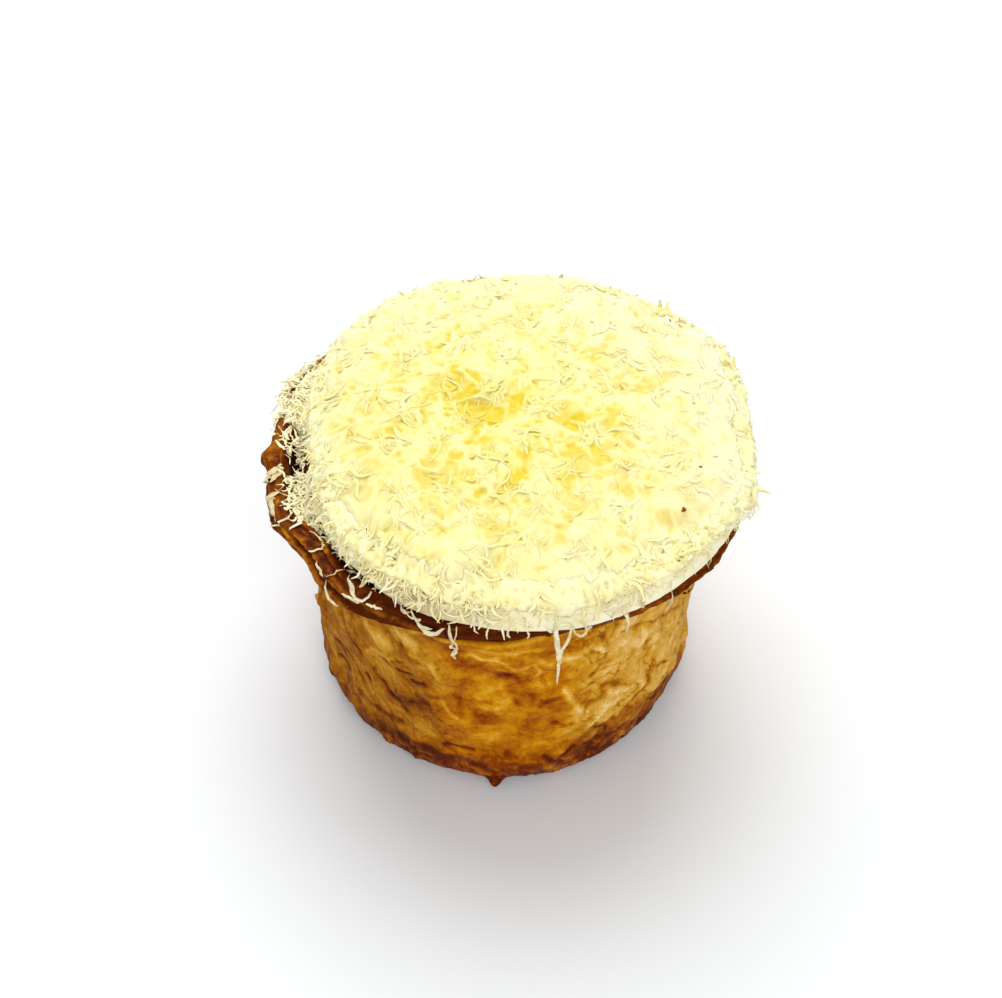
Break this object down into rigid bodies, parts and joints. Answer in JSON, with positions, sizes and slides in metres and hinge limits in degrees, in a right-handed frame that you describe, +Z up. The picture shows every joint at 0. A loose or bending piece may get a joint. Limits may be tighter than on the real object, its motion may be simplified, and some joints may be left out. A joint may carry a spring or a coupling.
{
  "type": "croissant roll",
  "caption": "Tall round roll of laminated pastry with a flared crown, topped with a disc of cream and a heap of finely grated cheese.",
  "frame": {"origin": "centre of the roll's flat foot, on the surface it stands on", "axes": "+Z up, the roll's axis; -Y is the front shown to the camera, +X is its right side"},
  "size_m": [0.0962, 0.094, 0.0719],
  "materials": {
    "pastry": "baked laminated dough, glazed amber brown, darker and crumbly at the crown",
    "cream": "smooth soft cream",
    "cheese": "fine dry shreds, pale yellow"
  },
  "bodies": {
    "root": {"pastry": "pastry", "cream": "cream", "grated_cheese": "cheese"}
  },
  "joints": []
}
